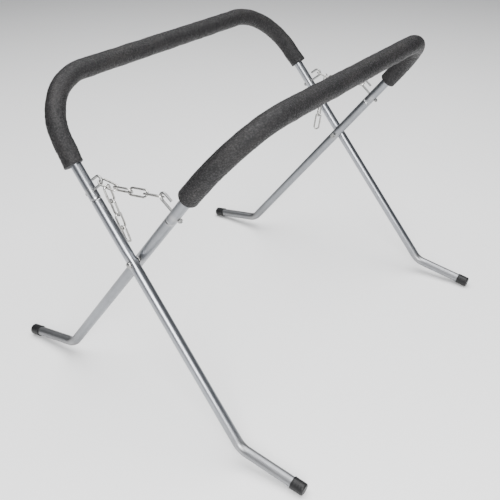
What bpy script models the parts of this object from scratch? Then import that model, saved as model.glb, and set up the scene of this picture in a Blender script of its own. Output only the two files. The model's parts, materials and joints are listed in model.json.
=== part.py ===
"""Folding sawhorse made of two crossing hoops of round steel tube.

Each frame is an upper hoop with a foam sleeve and two lower legs whose swaged
necks push into the hoop's ends. A hook bolt goes through each joint of hoop
and leg. The two frames turn on a pair of pivot bolts, and a chain on each side,
hung between the hook bolts, stops them from spreading.

Axes: +X runs along the pivot bolts, +Z is up, and the origin is on the floor
under the middle of the pivot axis. The outer frame leans its hoop to -Y and
its feet to +Y, and the inner frame leans the other way.
"""
import math

import bmesh
import bpy
from mathutils import Euler, Matrix, Vector

MM = 0.001

# Tube
TUBE_DIAMETER = 25.4 * MM
TUBE_WALL = 1.5 * MM
TUBE_SIDES = 16

# Frames: lengths run along the leg from the pivot bolt
HALF_OPENING = math.radians(38.4)
PIVOT_HALF_WIDTH = 470.0 * MM
OUTER_SPLAY = -0.038
INNER_SPLAY = 0.020
HOOP_REACH = 440.0 * MM
HOOP_CORNER_RADIUS = 160.0 * MM
SEAM_REACH = 160.0 * MM
HOOK_REACH = 180.0 * MM
LEG_REACH = 480.0 * MM
FOOT_LENGTH = 170.0 * MM
FOOT_DROP = math.radians(9.0)
FOOT_BEND_RADIUS = 45.0 * MM

# Swaged neck of a lower leg
NECK_LENGTH = 42.0 * MM
SHOULDER_LENGTH = 4.0 * MM

# Foam sleeve
FOAM_DIAMETER = 46.0 * MM
FOAM_START = 247.0 * MM
FOAM_SIDES = 16
FOAM_TILT = HALF_OPENING + math.pi / FOAM_SIDES

# End cap
CAP_LENGTH = 32.0 * MM
CAP_WALL = 1.6 * MM
CAP_FLOOR = 3.2 * MM
CAP_ROUNDING = 2.4 * MM
CAP_FLAT_DEPTH = 0.8 * MM

# Pivot bolt, its spacer washer and its nut
PIVOT_BOLT_DIAMETER = 8.0 * MM
PIVOT_HEAD_DIAMETER = 15.0 * MM
PIVOT_HEAD_HEIGHT = 4.6 * MM
PIVOT_WASHER_DIAMETER = 17.0 * MM
PIVOT_WASHER_THICKNESS = 1.2 * MM
PIVOT_NUT_FLATS = 13.0 * MM
PIVOT_NUT_HEIGHT = 6.5 * MM

# Hook bolt and its nut
HOOK_WIRE = 6.0 * MM
HOOK_EYE = 13.0 * MM
HOOK_LOOP_RISE = 29.5 * MM
HOOK_TIP_LENGTH = 18.0 * MM
HOOK_NUT_FLATS = 10.0 * MM
HOOK_NUT_HEIGHT = 5.0 * MM
THREAD_END = 2.5 * MM

# Chain
LINK_WIRE = 5.0 * MM
SPAN_LINKS = 4
TAIL_LINKS = 4
CHAIN_SLACK = 0.0065
LINK_TURNS = (26.0, 127.0, 53.0, 154.0)
TAIL_LEAN = math.radians(17.0)
TAIL_SET_BACK = 2.3

# Segments of the curved pieces
CORNER_STEPS = 9
FOOT_STEPS = 6
CAP_STEPS = 4
DOME_STEPS = 4
HOOK_STEPS = 8
LINK_STEPS = 6
HOOK_SIDES = 10
BOLT_SIDES = 16
WASHER_SIDES = 20

# Clearances
FIT_GAP = 0.3 * MM
CHAIN_GAP = 1.3 * MM
HOOK_SEAT_GAP = 1.6 * MM
LINK_SIDE_ROOM = 5.0 * MM

# Values that follow from the ones above
TUBE_RADIUS = TUBE_DIAMETER / 2
HOLE_EXTRA = FIT_GAP
SPLAY_GAP = FIT_GAP + abs(OUTER_SPLAY) * PIVOT_WASHER_DIAMETER / 2
TUBE_SPACING = TUBE_DIAMETER + PIVOT_WASHER_THICKNESS + 2 * SPLAY_GAP
NECK_RADIUS = TUBE_RADIUS - TUBE_WALL - FIT_GAP
CAP_RADIUS = TUBE_RADIUS + FIT_GAP + CAP_WALL
FOOT_ANGLE = HALF_OPENING + FOOT_DROP
HOOK_LOOP_RADIUS = (HOOK_EYE + HOOK_WIRE) / 2
LINK_WIDTH = HOOK_WIRE + LINK_SIDE_ROOM + 2 * LINK_WIRE
LINK_LOOP_RADIUS = (LINK_WIDTH - LINK_WIRE) / 2
LINK_SEAT = HOOK_LOOP_RADIUS - HOOK_WIRE / 2 - LINK_WIRE / 2 - HOOK_SEAT_GAP
PIVOT_HEIGHT = (
    LEG_REACH * math.cos(HALF_OPENING)
    + FOOT_LENGTH * math.sin(FOOT_DROP)
    + CAP_RADIUS * math.cos(FOOT_DROP)
    - CAP_FLAT_DEPTH
)

ZINC = ("bright_zinc", (0.72, 0.73, 0.75), 0.28, 1.0)
BOLT_ZINC = ("bolt_zinc", (0.66, 0.66, 0.65), 0.32, 1.0)
CHAIN_ZINC = ("chain_zinc", (0.68, 0.67, 0.63), 0.30, 1.0)
FOAM = ("charcoal_foam", (0.055, 0.055, 0.06), 0.85, 0.0)
VINYL = ("black_vinyl", (0.012, 0.012, 0.012), 0.40, 0.0)

SIDES = (("right", 1), ("left", -1))


class Frame:
    """One hoop with its legs, drawn upright and then leaned about the pivot axis."""

    def __init__(self, name, facing, half_width, splay):
        self.name = name
        self.facing = facing
        self.half_width = half_width
        self.splay = splay
        self.empty = None

    def leg_point(self, side, reach, offset=0.0):
        """Point on a leg's axis, or offset from it towards the other frame."""
        x = side * (self.half_width + self.splay * reach)
        return Vector((x, self.facing * offset, reach))

    def leg_direction(self, side):
        return Vector((side * self.splay, 0, 1)).normalized()

    def lean(self):
        return Euler((self.facing * HALF_OPENING, 0, 0)).to_matrix()

    def to_world(self, point):
        return self.lean() @ point + Vector((0, 0, PIVOT_HEIGHT))


def clear_scene():
    for old in list(bpy.data.objects):
        bpy.data.objects.remove(old, do_unlink=True)


def make_collection(name):
    collection = bpy.data.collections.new(name)
    bpy.context.scene.collection.children.link(collection)
    return collection


def make_material(finish):
    name, colour, roughness, metallic = finish
    found = bpy.data.materials.get(name)
    if found:
        return found
    material = bpy.data.materials.new(name)
    material.use_nodes = True
    shader = material.node_tree.nodes["Principled BSDF"]
    shader.inputs["Base Color"].default_value = (*colour, 1.0)
    shader.inputs["Roughness"].default_value = roughness
    shader.inputs["Metallic"].default_value = metallic
    return material


def add_object(name, data, finish, parent=None):
    thing = bpy.data.objects.new(name, data)
    parts.objects.link(thing)
    if finish:
        thing.data.materials.append(make_material(finish))
    thing.parent = parent
    return thing


def add_cutter(name, data, parent=None):
    thing = bpy.data.objects.new(name, data)
    cutters.objects.link(thing)
    thing.hide_render = True
    thing.display_type = "WIRE"
    thing.parent = parent
    return thing


def cut(target, cutter):
    boolean = target.modifiers.new("cut_" + cutter.name, "BOOLEAN")
    boolean.operation = "DIFFERENCE"
    boolean.solver = "EXACT"
    boolean.object = cutter


def arc_points(corner, arriving, leaving, radius, steps):
    """Points of the arc that rounds a corner between two unit directions."""
    turn = arriving.angle(leaving)
    start = corner - arriving * radius * math.tan(turn / 2)
    inward = (leaving - arriving * arriving.dot(leaving)).normalized()
    points = []
    for step in range(steps + 1):
        angle = turn * step / steps
        along = arriving * math.sin(angle) + inward * (1 - math.cos(angle))
        points.append(start + radius * along)
    return points


def swept_mesh(name, points, radius, sides, scales=None, closed=False, capped=True, tilt=0.0):
    """Mesh of a round section carried along a path of points."""
    curve = bpy.data.curves.new(name, "CURVE")
    curve.dimensions = "3D"
    curve.bevel_depth = radius
    curve.bevel_resolution = (sides - 4) // 2
    curve.use_fill_caps = capped and not closed
    spline = curve.splines.new("POLY")
    spline.points.add(len(points) - 1)
    for index, point in enumerate(points):
        spline.points[index].co = (*point, 1.0)
        spline.points[index].radius = scales[index] if scales else 1.0
        spline.points[index].tilt = tilt
    spline.use_cyclic_u = closed
    holder = bpy.data.objects.new(name + "_path", curve)
    bpy.context.scene.collection.objects.link(holder)
    bpy.context.view_layer.update()
    evaluated = holder.evaluated_get(bpy.context.evaluated_depsgraph_get())
    mesh = bpy.data.meshes.new_from_object(evaluated)
    mesh.name = name
    bpy.data.objects.remove(holder, do_unlink=True)
    work = bmesh.new()
    work.from_mesh(mesh)
    bmesh.ops.remove_doubles(work, verts=work.verts, dist=MM / 100)
    bmesh.ops.recalc_face_normals(work, faces=work.faces)
    work.to_mesh(mesh)
    work.free()
    mesh.materials.clear()
    mesh.shade_smooth()
    mesh.set_sharp_from_angle(angle=math.radians(40))
    return mesh


def add_wall(thing, thickness):
    wall = thing.modifiers.new("wall", "SOLIDIFY")
    wall.thickness = thickness
    wall.offset = -1.0
    wall.use_even_offset = True
    wall.use_rim = True


def cylinder_mesh(name, radius, length, segments=16):
    work = bmesh.new()
    bmesh.ops.create_cone(
        work, cap_ends=True, segments=segments, radius1=radius, radius2=radius, depth=length
    )
    mesh = bpy.data.meshes.new(name)
    work.to_mesh(mesh)
    work.free()
    return mesh


def turned_mesh(name, profile):
    """Closed profile of (radius, height) points turned about Z."""
    mesh = bpy.data.meshes.new(name)
    edges = [(i, i + 1) for i in range(len(profile) - 1)]
    mesh.from_pydata([(r, 0, z) for r, z in profile], edges, [])
    return mesh


def add_turn(thing, steps):
    turn = thing.modifiers.new("turn", "SCREW")
    turn.axis = "Z"
    turn.angle = 2 * math.pi
    turn.screw_offset = 0
    turn.steps = steps
    turn.render_steps = steps
    turn.use_merge_vertices = True
    turn.merge_threshold = MM / 100
    turn.use_smooth_shade = True


def rotation_onto(direction):
    return direction.to_track_quat("Z", "Y").to_euler()


def hole_across_leg(frame, side_name, side, reach, radius, axis, label):
    """Cutter for a bolt hole through a leg at a given reach."""
    name = f"{frame.name}_{label}_hole_{side_name}"
    cutter = add_cutter(name, cylinder_mesh(name, radius, 3 * TUBE_DIAMETER), frame.empty)
    cutter.location = frame.leg_point(side, reach)
    cutter.rotation_euler = rotation_onto(axis)
    return cutter


def hoop_path(frame, start_reach):
    """Path up one leg, round both corners and down the other leg."""
    across = Vector((-1, 0, 0))
    rising = frame.leg_direction(1)
    falling = -frame.leg_direction(-1)
    first = arc_points(
        frame.leg_point(1, HOOP_REACH), rising, across, HOOP_CORNER_RADIUS, CORNER_STEPS
    )
    second = arc_points(
        frame.leg_point(-1, HOOP_REACH), across, falling, HOOP_CORNER_RADIUS, CORNER_STEPS
    )
    return [frame.leg_point(1, start_reach), *first, *second, frame.leg_point(-1, start_reach)]


def build_hoop(frame):
    name = frame.name + "_hoop"
    path = hoop_path(frame, SEAM_REACH)
    mesh = swept_mesh(name, path, TUBE_RADIUS, TUBE_SIDES, capped=False)
    hoop = add_object(name, mesh, ZINC, frame.empty)
    add_wall(hoop, TUBE_WALL)
    for side_name, side in SIDES:
        cut(hoop, frame.hook_holes[side_name])


def build_foam(frame):
    """Sleeve round the hoop, turned so that one facet of the crossbar faces straight up."""
    name = frame.name + "_foam"
    path = hoop_path(frame, FOAM_START)
    mesh = swept_mesh(
        name, path, FOAM_DIAMETER / 2, FOAM_SIDES, capped=False, tilt=frame.facing * FOAM_TILT
    )
    foam = add_object(name, mesh, FOAM, frame.empty)
    facet_radius = FOAM_DIAMETER / 2 * math.cos(math.pi / FOAM_SIDES)
    add_wall(foam, facet_radius - TUBE_RADIUS - FIT_GAP)


def foot_direction(frame):
    return Vector((0, frame.facing * math.cos(FOOT_ANGLE), -math.sin(FOOT_ANGLE)))


def foot_end(frame, side):
    return frame.leg_point(side, -LEG_REACH) + foot_direction(frame) * FOOT_LENGTH


def build_leg(frame, side_name, side):
    """Lower leg: swaged neck, shoulder, straight run, bend and foot."""
    name = f"{frame.name}_leg_{side_name}"
    neck = NECK_RADIUS / TUBE_RADIUS
    path = [
        frame.leg_point(side, SEAM_REACH + NECK_LENGTH),
        frame.leg_point(side, SEAM_REACH - FIT_GAP),
        frame.leg_point(side, SEAM_REACH - SHOULDER_LENGTH),
    ]
    scales = [neck, neck, 1.0]
    bend = arc_points(
        frame.leg_point(side, -LEG_REACH),
        -frame.leg_direction(side),
        foot_direction(frame),
        FOOT_BEND_RADIUS,
        FOOT_STEPS,
    )
    path += bend
    path.append(foot_end(frame, side) - foot_direction(frame) * (CAP_FLOOR + FIT_GAP))
    scales += [1.0] * (len(path) - len(scales))
    mesh = swept_mesh(name, path, TUBE_RADIUS, TUBE_SIDES, scales=scales, capped=False)
    leg = add_object(name, mesh, ZINC, frame.empty)
    add_wall(leg, TUBE_WALL)
    cut(leg, frame.hook_holes[side_name])
    cut(leg, frame.pivot_holes[side_name])


def build_cap(frame, side_name, side):
    """Push-on end cap, with a small flat where it stands on the floor."""
    name = f"{frame.name}_cap_{side_name}"
    bore = TUBE_RADIUS + FIT_GAP
    profile = [(0.0, 0.0), (CAP_RADIUS - CAP_ROUNDING, 0.0)]
    for step in range(1, CAP_STEPS):
        angle = math.pi / 2 * step / CAP_STEPS
        profile.append(
            (
                CAP_RADIUS - CAP_ROUNDING * (1 - math.sin(angle)),
                -CAP_ROUNDING * (1 - math.cos(angle)),
            )
        )
    profile += [
        (CAP_RADIUS, -CAP_ROUNDING),
        (CAP_RADIUS, -CAP_LENGTH),
        (bore, -CAP_LENGTH),
        (bore, -CAP_FLOOR),
        (0.0, -CAP_FLOOR),
    ]
    cap = add_object(name, turned_mesh(name, profile), VINYL, frame.empty)
    cap.location = foot_end(frame, side)
    cap.rotation_euler = rotation_onto(foot_direction(frame))
    add_turn(cap, TUBE_SIDES * 2)
    cut(cap, floor_cutter)


def hex_nut(name, flats, height, bore, parent, location, axis):
    """Hexagon nut centred on its own middle, with its bore along the axis."""
    nut = add_object(name, cylinder_mesh(name, flats / math.sqrt(3), height, 6), BOLT_ZINC, parent)
    hole = add_cutter(name + "_bore", cylinder_mesh(name + "_bore", bore, 2 * height), parent)
    for thing in (nut, hole):
        thing.location = location
        thing.rotation_euler = rotation_onto(axis)
    cut(nut, hole)


def build_hook(frame, side_name, side):
    """Hook bolt through hoop and neck, its loop open at the tip, and its nut."""
    across = HOOK_LOOP_RISE + TUBE_RADIUS
    tail = TUBE_RADIUS + SPLAY_GAP + HOOK_NUT_HEIGHT + THREAD_END
    along = frame.leg_direction(side)
    path = [frame.leg_point(side, HOOK_REACH, -tail), frame.leg_point(side, HOOK_REACH, across)]
    middle = path[-1] + along * HOOK_LOOP_RADIUS
    outward = Vector((0, frame.facing, 0))
    for step in range(1, HOOK_STEPS + 1):
        angle = math.pi * step / HOOK_STEPS
        path.append(
            middle
            + HOOK_LOOP_RADIUS * (outward * math.sin(angle) - along * math.cos(angle))
        )
    path.append(path[-1] - outward * HOOK_TIP_LENGTH)
    name = f"{frame.name}_hook_{side_name}"
    add_object(name, swept_mesh(name, path, HOOK_WIRE / 2, HOOK_SIDES), BOLT_ZINC, frame.empty)
    seat = TUBE_RADIUS + SPLAY_GAP + HOOK_NUT_HEIGHT / 2
    hex_nut(
        f"{frame.name}_hook_nut_{side_name}",
        HOOK_NUT_FLATS,
        HOOK_NUT_HEIGHT,
        HOOK_WIRE / 2 + HOLE_EXTRA,
        frame.empty,
        frame.leg_point(side, HOOK_REACH, -seat),
        Vector((0, -frame.facing, 0)),
    )


def build_pivot(side_name, side):
    """Pivot bolt from outside, spacer washer between the tubes, nut inside."""
    outward = Vector((side, 0, 0))
    head_seat = OUTER.half_width + TUBE_RADIUS + SPLAY_GAP
    nut_seat = INNER.half_width - TUBE_RADIUS - SPLAY_GAP
    shank_end = nut_seat - PIVOT_NUT_HEIGHT - THREAD_END
    radius = PIVOT_BOLT_DIAMETER / 2
    dome = (PIVOT_HEAD_DIAMETER**2 / 4 + PIVOT_HEAD_HEIGHT**2) / (2 * PIVOT_HEAD_HEIGHT)
    profile = []
    half_angle = math.asin(PIVOT_HEAD_DIAMETER / 2 / dome)
    for step in range(DOME_STEPS + 1):
        angle = half_angle * step / DOME_STEPS
        profile.append(
            (dome * math.sin(angle), PIVOT_HEAD_HEIGHT - dome * (1 - math.cos(angle)))
        )
    profile += [(radius, 0.0), (radius, shank_end - head_seat), (0.0, shank_end - head_seat)]
    bolt = add_object(
        f"pivot_bolt_{side_name}", turned_mesh("pivot_bolt_" + side_name, profile), BOLT_ZINC
    )
    bolt.location = (side * head_seat, 0, PIVOT_HEIGHT)
    bolt.rotation_euler = rotation_onto(outward)
    add_turn(bolt, BOLT_SIDES)
    middle = (OUTER.half_width + INNER.half_width) / 2
    half = PIVOT_WASHER_THICKNESS / 2
    bore = radius + HOLE_EXTRA
    rim = PIVOT_WASHER_DIAMETER / 2
    ring = [(bore, half), (rim, half), (rim, -half), (bore, -half), (bore, half)]
    washer = add_object(
        f"pivot_washer_{side_name}", turned_mesh("pivot_washer_" + side_name, ring), BOLT_ZINC
    )
    washer.location = (side * middle, 0, PIVOT_HEIGHT)
    washer.rotation_euler = rotation_onto(outward)
    add_turn(washer, WASHER_SIDES)
    hex_nut(
        f"pivot_nut_{side_name}",
        PIVOT_NUT_FLATS,
        PIVOT_NUT_HEIGHT,
        radius + HOLE_EXTRA,
        None,
        Vector((side * (nut_seat - PIVOT_NUT_HEIGHT / 2), 0, PIVOT_HEIGHT)),
        -outward,
    )


def hook_loop_centre(frame, side):
    """World point at the middle of a hook's loop, which the end link turns about."""
    across = HOOK_LOOP_RISE + TUBE_RADIUS
    point = frame.leg_point(side, HOOK_REACH, across)
    return frame.to_world(point + frame.leg_direction(side) * HOOK_LOOP_RADIUS)


def link_path(length):
    """Racetrack of a link's wire: long way along Z, wide way along X, start end at zero."""
    points = []
    for centre, first in ((LINK_LOOP_RADIUS, math.pi), (length - LINK_LOOP_RADIUS, 0.0)):
        for step in range(LINK_STEPS + 1):
            angle = first + math.pi * step / LINK_STEPS
            points.append(
                Vector(
                    (
                        LINK_LOOP_RADIUS * math.cos(angle),
                        0,
                        centre + LINK_LOOP_RADIUS * math.sin(angle),
                    )
                )
            )
    return points


def build_link(name, start, direction, wide, length):
    """Link whose first end's wire is centred on start, its long way along direction."""
    mesh = swept_mesh(name, link_path(length), LINK_WIRE / 2, 8, closed=True)
    link = add_object(name, mesh, CHAIN_ZINC)
    normal = direction.cross(wide).normalized()
    wide = normal.cross(direction).normalized()
    turn = Matrix((wide, normal, direction)).transposed()
    link.matrix_world = Matrix.Translation(start) @ turn.to_4x4()
    return link


def chain_layout(side):
    """Joint points of the span's links and the wire length of one link.

    The first link is pulled down by the tail, and the others lie in one line,
    so the span is a flat triangle on the line between the two hooks.
    """
    first = hook_loop_centre(OUTER, side)
    last = hook_loop_centre(INNER, side)
    span = (last - first).length
    joint = LINK_WIRE + CHAIN_GAP
    total = span * (1 + CHAIN_SLACK)
    ends = 2 * (LINK_SEAT - joint / 2)
    length = (total - ends + (SPAN_LINKS - 2) * joint) / SPAN_LINKS
    end_run = LINK_SEAT + length - joint / 2
    mid_run = length - joint
    rest = total - end_run
    along = (last - first).normalized()
    down = (Vector((0, 0, -1)) + along * along.z).normalized()
    foot = (end_run**2 - rest**2 + span**2) / (2 * span)
    sag = math.sqrt(end_run**2 - foot**2)
    low = first + along * foot + down * sag
    onward = (last - low).normalized()
    joints = [first, low]
    for index in range(SPAN_LINKS - 2):
        joints.append(joints[-1] + onward * mid_run)
    joints.append(last)
    return joints, length


def build_chain(side_name, side):
    joints, length = chain_layout(side)
    half_joint = (LINK_WIRE + CHAIN_GAP) / 2
    for index in range(SPAN_LINKS):
        direction = (joints[index + 1] - joints[index]).normalized()
        lead = -LINK_SEAT if index == 0 else half_joint
        start = joints[index] - direction * lead
        wide = link_wide(side, index)
        build_link(f"chain_{side_name}_link_{index + 1}", start, direction, wide, length)
    build_tail(side_name, side, joints, length)


def link_wide(side, index):
    """Direction of a span link's width, turned up from the inward side."""
    turn = math.radians(LINK_TURNS[index])
    return Vector((-side * math.cos(turn), 0, math.sin(turn)))


def build_tail(side_name, side, joints, length):
    """Loose end of the chain, hung on the outward strand of the first link."""
    axis = Vector((side, 0, 0))
    first = (joints[1] - joints[0]).normalized()
    joint = LINK_WIRE + CHAIN_GAP
    wide = link_wide(side, 0)
    normal = first.cross(wide).normalized()
    wide = normal.cross(first).normalized()
    strand = joints[1] - first * (joint / 2 + joint * TAIL_SET_BACK) - wide * LINK_LOOP_RADIUS
    fall = Vector((-side * math.sin(TAIL_LEAN), 0, -math.cos(TAIL_LEAN)))
    start = strand - fall * joint
    for index in range(TAIL_LINKS):
        broad = axis if index % 2 == 0 else Vector((0, 1, 0))
        build_link(f"tail_{side_name}_link_{index + 1}", start, fall, broad, length)
        start = start + fall * (length - joint)


clear_scene()
parts = make_collection("folding_sawhorse")
cutters = make_collection("cutters")
OUTER = Frame("outer", 1, PIVOT_HALF_WIDTH, OUTER_SPLAY)
INNER = Frame("inner", -1, PIVOT_HALF_WIDTH - TUBE_SPACING, INNER_SPLAY)
floor_size = 4 * (LEG_REACH + FOOT_LENGTH)
floor_cutter = add_cutter("floor_cutter", cylinder_mesh("floor_cutter", floor_size, TUBE_RADIUS))
floor_cutter.location = (0, 0, -TUBE_RADIUS / 2)

for frame in (OUTER, INNER):
    frame.empty = bpy.data.objects.new(frame.name + "_frame_axis", None)
    parts.objects.link(frame.empty)
    frame.empty.location = (0, 0, PIVOT_HEIGHT)
    frame.empty.rotation_euler = (frame.facing * HALF_OPENING, 0, 0)
    frame.hook_holes = {}
    frame.pivot_holes = {}
    for side_name, side in SIDES:
        frame.hook_holes[side_name] = hole_across_leg(
            frame, side_name, side, HOOK_REACH, HOOK_WIRE / 2 + HOLE_EXTRA, Vector((0, 1, 0)), "hook"
        )
        frame.pivot_holes[side_name] = hole_across_leg(
            frame, side_name, side, 0.0, PIVOT_BOLT_DIAMETER / 2 + HOLE_EXTRA,
            Vector((1, 0, 0)), "pivot",
        )
    build_hoop(frame)
    build_foam(frame)
    for side_name, side in SIDES:
        build_leg(frame, side_name, side)
        build_cap(frame, side_name, side)
        build_hook(frame, side_name, side)

for side_name, side in SIDES:
    build_pivot(side_name, side)
    build_chain(side_name, side)
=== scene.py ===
"""Looks of the folding sawhorse, built round its frame.

Laid out as an add-on: sizes and colours are properties, each kind of piece has
its own operator, and a panel in the sidebar lists them.
"""

import json
import math

import bmesh
import bpy
import numpy as np
from bpy.props import FloatProperty, FloatVectorProperty, PointerProperty
from mathutils import Matrix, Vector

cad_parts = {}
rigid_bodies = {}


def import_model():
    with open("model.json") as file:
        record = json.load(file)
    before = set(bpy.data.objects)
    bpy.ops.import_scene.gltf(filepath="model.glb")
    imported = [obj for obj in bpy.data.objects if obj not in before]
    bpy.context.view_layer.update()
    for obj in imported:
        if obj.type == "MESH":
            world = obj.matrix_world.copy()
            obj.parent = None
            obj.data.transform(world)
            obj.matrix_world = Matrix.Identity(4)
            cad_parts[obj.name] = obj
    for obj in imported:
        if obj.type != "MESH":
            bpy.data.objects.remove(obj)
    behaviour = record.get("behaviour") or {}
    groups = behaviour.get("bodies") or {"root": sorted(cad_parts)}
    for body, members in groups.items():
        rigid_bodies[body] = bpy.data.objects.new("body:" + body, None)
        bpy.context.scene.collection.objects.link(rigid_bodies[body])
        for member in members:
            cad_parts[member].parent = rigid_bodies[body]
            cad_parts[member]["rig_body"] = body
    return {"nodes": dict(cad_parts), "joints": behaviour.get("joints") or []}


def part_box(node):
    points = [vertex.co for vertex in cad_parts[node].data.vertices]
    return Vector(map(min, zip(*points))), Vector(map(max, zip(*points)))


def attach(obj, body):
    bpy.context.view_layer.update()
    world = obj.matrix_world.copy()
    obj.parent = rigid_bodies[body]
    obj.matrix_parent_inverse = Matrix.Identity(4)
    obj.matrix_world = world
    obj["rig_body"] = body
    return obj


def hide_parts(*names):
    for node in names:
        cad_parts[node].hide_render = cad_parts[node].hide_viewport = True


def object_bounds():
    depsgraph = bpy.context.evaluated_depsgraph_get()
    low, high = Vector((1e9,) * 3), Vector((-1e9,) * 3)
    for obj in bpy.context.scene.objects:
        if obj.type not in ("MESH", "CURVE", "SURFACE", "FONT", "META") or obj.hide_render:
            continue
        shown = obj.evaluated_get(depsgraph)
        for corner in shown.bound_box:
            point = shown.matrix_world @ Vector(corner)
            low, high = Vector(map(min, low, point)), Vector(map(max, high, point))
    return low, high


bl_info = {
    "name": "Folding Sawhorse",
    "version": (1, 0, 0),
    "blender": (4, 5, 0),
    "location": "View3D > Sidebar > Sawhorse",
    "description": "Builds the tubes, foam, caps, hardware and chains of a folding sawhorse",
    "category": "Add Mesh",
}

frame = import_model()
CAD_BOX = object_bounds()
MM = 0.001
FOLD = next(joint for joint in frame["joints"] if joint["name"] == "fold")
PIVOT_HEIGHT = FOLD["pos_m"][2]
SIDES = (("right", 1), ("left", -1))
FRAMES = ("outer", "inner")
TURN = 2 * math.pi
TUBE_SIDES = 48
BORE_RINGS = 24
LIP_STEPS = 7
BOLT_SIDES = 48
HOOK_SIDES = 32
SPLAY_GAP = 0.623 * MM
SHARP_ANGLE = math.radians(38)
SOIL_REACH = 160 * MM
FLOOR_HALF = 30.0

# Camera: metres, millimetres for the lens, and degrees
CAMERA_PLACE = (1.3999, 0.9696)
CAMERA_RISE = 0.81935
CAMERA_TILT = 30.896
CAMERA_TURN = 125.163
CAMERA_ROLL = 0.534
CAMERA_LENS = 50.85
SENSOR_WIDTH = 36.0


# Sizes and colours


def length(name, description, default):
    """Length property, given in millimetres."""
    return FloatProperty(
        name=name, description=description, default=default * MM, min=0.0, unit="LENGTH", precision=4
    )


def angle(name, description, default):
    """Angle property, given in degrees."""
    return FloatProperty(
        name=name, description=description, default=math.radians(default), unit="ROTATION"
    )


def colour(name, description, default):
    return FloatVectorProperty(
        name=name, description=description, default=default, size=3, subtype="COLOR", min=0.0, max=1.0
    )


class SawhorseSizes(bpy.types.PropertyGroup):
    tube: length("Tube", "Outside diameter of the steel tube", 25.4)
    wall: length("Tube wall", "Wall thickness of the steel tube", 1.5)
    half_opening: angle("Half opening", "Lean of each frame from upright", 38.4)
    half_width: length("Half width", "Middle of the tube at the pivot bolt", 470.0)
    tube_spacing: length("Tube spacing", "Distance between the tubes at the pivot", 27.846)
    outer_splay: FloatProperty(
        name="Outer splay", description="Widening of the outer frame along its legs", default=-0.038
    )
    inner_splay: FloatProperty(
        name="Inner splay", description="Widening of the inner frame along its legs", default=0.020
    )
    hoop_reach: length("Hoop reach", "From the pivot bolt to the crossbar", 440.0)
    corner_radius: length("Corner radius", "Bend radius of the hoop's corners", 160.0)
    seam_reach: length("Seam reach", "From the pivot bolt to the joint of hoop and leg", 160.0)
    neck: length("Neck", "Length of the leg's swaged neck", 42.0)
    shoulder: length("Shoulder", "Length of the swage's shoulder", 4.0)
    hook_reach: length("Hook reach", "From the pivot bolt to the hook bolt", 180.0)
    leg_reach: length("Leg reach", "From the pivot bolt to the foot's bend", 480.0)
    foot: length("Foot", "Length of the foot past its bend", 170.0)
    foot_drop: angle("Foot drop", "Slope of the foot below level", 9.0)
    foot_bend: length("Foot bend", "Bend radius of the foot", 45.0)
    foam: length("Foam", "Outside diameter of the foam sleeve", 46.0)
    foam_start: length("Foam start", "From the pivot bolt to the sleeve's end", 247.0)
    foam_shift: length("Foam shift", "How far the sleeve's ends stand off centre", 4.5)
    grain: length("Foam grain", "Size of the pebbles in the foam's skin", 4.6)
    grain_depth: length("Grain depth", "Depth of the creases between the pebbles", 0.42)
    cap: length("Cap length", "Length of an end cap", 32.0)
    cap_wall: length("Cap wall", "Wall thickness of an end cap", 1.6)
    cap_floor: length("Cap floor", "Thickness of an end cap's closed end", 3.2)
    bolt: length("Pivot bolt", "Diameter of the pivot bolt", 8.0)
    hook_wire: length("Hook wire", "Diameter of the hook bolt", 6.0)
    hook_rise: length("Hook rise", "From the tube to the hook's loop", 29.5)
    hook_loop: length("Hook loop", "Radius of the hook's loop", 9.5)
    hook_tip: length("Hook tip", "Length of the hook's open end", 18.0)
    link_wire: length("Link wire", "Diameter of the chain's wire", 5.0)
    gap: length("Fit gap", "Clearance between pieces that touch", 0.3)


class SawhorseColours(bpy.types.PropertyGroup):
    zinc: colour("Zinc", "Tube plating", (0.34, 0.352, 0.38))
    # Also the colour that painted shade darkens the inner frame's tubes towards.
    zinc_dark: colour("Dull zinc", "Tube plating where it has dulled", (0.155, 0.16, 0.165))
    bolts: colour("Bolts", "Plating of bolts, nuts and hooks", (0.36, 0.36, 0.35))
    chain: colour("Chain", "Plating of the chain", (0.40, 0.39, 0.37))
    # Darkens each link's weld, and is the painted shade on the inside of each link.
    chain_weld_and_shade: colour("Chain crevices", "Dull plating between the chain's wires", (0.07, 0.068, 0.065))
    foam: colour("Foam", "Raised skin of the foam", (0.026, 0.024, 0.025))
    # Painted shade: the near-black put into the foam's creases and into the pores of its cut ends.
    foam_painted_shade: colour("Foam creases", "Creases in the foam's skin", (0.0025, 0.0025, 0.003))
    foam_core: colour("Foam core", "Cut ends of the foam", (0.040, 0.040, 0.043))
    vinyl: colour("Vinyl", "End caps", (0.006, 0.006, 0.0065))
    dust: colour("Dust", "Dust on the caps and feet", (0.16, 0.145, 0.125))
    floor: colour("Floor", "Studio floor", (0.93, 0.93, 0.93))


# Shader expressions


class Socket:
    """Wraps a node's output so that shader maths reads as Python expressions."""

    def __init__(self, graph, output):
        self.graph = graph
        self.output = output

    def maths(self, operation, *others):
        values = [self, *others]
        return self.graph.node("ShaderNodeMath", {"operation": operation}, dict(enumerate(values)))

    def __add__(self, other):
        return self.maths("ADD", other)

    def __sub__(self, other):
        return self.maths("SUBTRACT", other)

    def __rsub__(self, other):
        return self.graph.node("ShaderNodeMath", {"operation": "SUBTRACT"}, {0: other, 1: self})

    def __mul__(self, other):
        return self.maths("MULTIPLY", other)

    def __truediv__(self, other):
        return self.maths("DIVIDE", other)

    def __pow__(self, other):
        return self.maths("POWER", other)

    __radd__ = __add__
    __rmul__ = __mul__

    def clamped(self):
        return self.graph.node(
            "ShaderNodeMath", {"operation": "ADD", "use_clamp": True}, {0: self, 1: 0.0}
        )


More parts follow.
